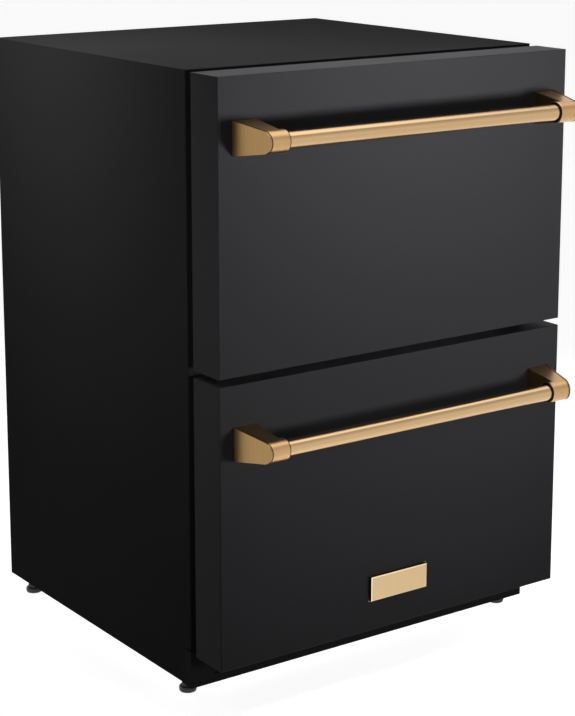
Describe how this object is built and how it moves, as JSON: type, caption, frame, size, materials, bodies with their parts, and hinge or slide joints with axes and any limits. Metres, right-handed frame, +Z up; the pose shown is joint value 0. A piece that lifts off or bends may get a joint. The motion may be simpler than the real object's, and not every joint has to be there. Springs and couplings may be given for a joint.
{
  "type": "undercounter drawer freezer",
  "caption": "Undercounter freezer with stacked full-width drawers on ball-bearing slides, tubular bar handles on cast posts, foamed cabinet and a slotted kick grille.",
  "frame": {"origin": "centre of the bounding box on the floor, under the feet", "axes": "+Z up; the drawers open towards -Y; +X to the right when facing the drawers"},
  "size_m": [0.6058, 0.681, 0.876],
  "materials": {
    "case_black": "satin black paint",
    "front_black": "satin charcoal-black paint",
    "galvanised": "galvanised",
    "insulation": "closed-cell foam",
    "liner_white": "semi-gloss white",
    "seal_black": "matt",
    "bronze_brushed": "satin brushed",
    "bronze_cast": "satin",
    "bronze_plate": "satin",
    "slide_zinc": "bright zinc",
    "frame_grey": "grey powder coat",
    "bin_white": "semi-gloss",
    "machine_black": "semi-gloss black",
    "fin_aluminium": "mill finish",
    "fan_grey": "matt",
    "motor_zinc": "zinc plated",
    "tray_grey": "matt",
    "control_black": "gloss black",
    "light_diffuser": "frosted",
    "foot_black": "matt"
  },
  "bodies": {
    "cabinet": {"top_panel": "case_black", "side_panel_left": "case_black", "side_panel_right": "case_black", "back_panel": "galvanised", "case_bottom": "galvanised", "machine_cover": "galvanised", "base_pan": "galvanised", "insulation_foam": "insulation", "inner_liner": "liner_white", "mullion": "liner_white", "kick_grille": "case_black", "compressor": "machine_black", "condenser": "machine_black", "condenser_fan_motor": "motor_zinc", "drip_tray": "tray_grey", "control_box": "tray_grey", "evaporator": "fin_aluminium", "evaporator_cover": "liner_white", "evaporator_fan_motor": "motor_zinc", "control_panel": "control_black", "upper_light_bar": "light_diffuser", "lower_light_bar": "light_diffuser", "power_inlet": "seal_black", "upper_slide_outer_members": "slide_zinc", "lower_slide_outer_members": "slide_zinc"},
    "condenser_fan": {"condenser_fan_blades": "fan_grey"},
    "evaporator_fan": {"evaporator_fan_blades": "fan_grey"},
    "foot_front_left": {"foot_front_left": "foot_black"},
    "foot_front_right": {"foot_front_right": "foot_black"},
    "foot_back_left": {"foot_back_left": "foot_black"},
    "foot_back_right": {"foot_back_right": "foot_black"},
    "upper_drawer": {"upper_front_skin": "front_black", "upper_front_foam": "insulation", "upper_front_liner": "liner_white", "upper_gasket": "seal_black", "upper_handle_bar": "bronze_brushed", "upper_handle_post_left": "bronze_cast", "upper_handle_post_right": "bronze_cast", "upper_handle_end_caps": "bronze_plate", "upper_bin": "bin_white", "upper_bin_frame": "frame_grey", "upper_slide_inner_members": "slide_zinc"},
    "upper_middle_slides": {"upper_slide_middle_members": "slide_zinc"},
    "upper_outer_cages": {"upper_outer_ball_cages": "slide_zinc"},
    "upper_inner_cages": {"upper_inner_ball_cages": "slide_zinc"},
    "lower_drawer": {"lower_front_skin": "front_black", "lower_front_foam": "insulation", "lower_front_liner": "liner_white", "lower_gasket": "seal_black", "lower_handle_bar": "bronze_brushed", "lower_handle_post_left": "bronze_cast", "lower_handle_post_right": "bronze_cast", "lower_handle_end_caps": "bronze_plate", "lower_bin": "bin_white", "lower_bin_frame": "frame_grey", "lower_slide_inner_members": "slide_zinc", "badge_plate": "bronze_plate"},
    "lower_middle_slides": {"lower_slide_middle_members": "slide_zinc"},
    "lower_outer_cages": {"lower_outer_ball_cages": "slide_zinc"},
    "lower_inner_cages": {"lower_inner_ball_cages": "slide_zinc"}
  },
  "joints": [
    {"name": "upper_drawer_slide", "type": "slide", "parent": "cabinet", "child": "upper_drawer", "axis": [0, -1, 0], "range_m": [0, 0.39]},
    {"name": "upper_middle_slides_travel", "type": "slide", "parent": "cabinet", "child": "upper_middle_slides", "axis": [0, -1, 0], "range_m": [0, 0.195]},
    {"name": "upper_outer_cages_travel", "type": "slide", "parent": "cabinet", "child": "upper_outer_cages", "axis": [0, -1, 0], "range_m": [0, 0.0975]},
    {"name": "upper_inner_cages_travel", "type": "slide", "parent": "cabinet", "child": "upper_inner_cages", "axis": [0, -1, 0], "range_m": [0, 0.2925]},
    {"name": "lower_drawer_slide", "type": "slide", "parent": "cabinet", "child": "lower_drawer", "axis": [0, -1, 0], "range_m": [0, 0.39]},
    {"name": "lower_middle_slides_travel", "type": "slide", "parent": "cabinet", "child": "lower_middle_slides", "axis": [0, -1, 0], "range_m": [0, 0.195]},
    {"name": "lower_outer_cages_travel", "type": "slide", "parent": "cabinet", "child": "lower_outer_cages", "axis": [0, -1, 0], "range_m": [0, 0.0975]},
    {"name": "lower_inner_cages_travel", "type": "slide", "parent": "cabinet", "child": "lower_inner_cages", "axis": [0, -1, 0], "range_m": [0, 0.2925]},
    {"name": "condenser_fan_spin", "type": "hinge", "parent": "cabinet", "child": "condenser_fan", "pos_m": [0.085, 0.23775, 0.101], "axis": [1, 0, 0], "continuous": true},
    {"name": "evaporator_fan_spin", "type": "hinge", "parent": "cabinet", "child": "evaporator_fan", "pos_m": [0, 0.2465, 0.718], "axis": [0, -1, 0], "continuous": true},
    {"name": "foot_front_left_height", "type": "slide", "parent": "cabinet", "child": "foot_front_left", "axis": [0, 0, -1], "range_m": [0, 0.015]},
    {"name": "foot_front_right_height", "type": "slide", "parent": "cabinet", "child": "foot_front_right", "axis": [0, 0, -1], "range_m": [0, 0.015]},
    {"name": "foot_back_left_height", "type": "slide", "parent": "cabinet", "child": "foot_back_left", "axis": [0, 0, -1], "range_m": [0, 0.015]},
    {"name": "foot_back_right_height", "type": "slide", "parent": "cabinet", "child": "foot_back_right", "axis": [0, 0, -1], "range_m": [0, 0.015]}
  ],
  "couplings": [
    {"joint": "upper_middle_slides_travel", "follows": "upper_drawer_slide", "ratio": 0.5},
    {"joint": "upper_outer_cages_travel", "follows": "upper_drawer_slide", "ratio": 0.25},
    {"joint": "upper_inner_cages_travel", "follows": "upper_drawer_slide", "ratio": 0.75},
    {"joint": "lower_middle_slides_travel", "follows": "lower_drawer_slide", "ratio": 0.5},
    {"joint": "lower_outer_cages_travel", "follows": "lower_drawer_slide", "ratio": 0.25},
    {"joint": "lower_inner_cages_travel", "follows": "lower_drawer_slide", "ratio": 0.75}
  ]
}
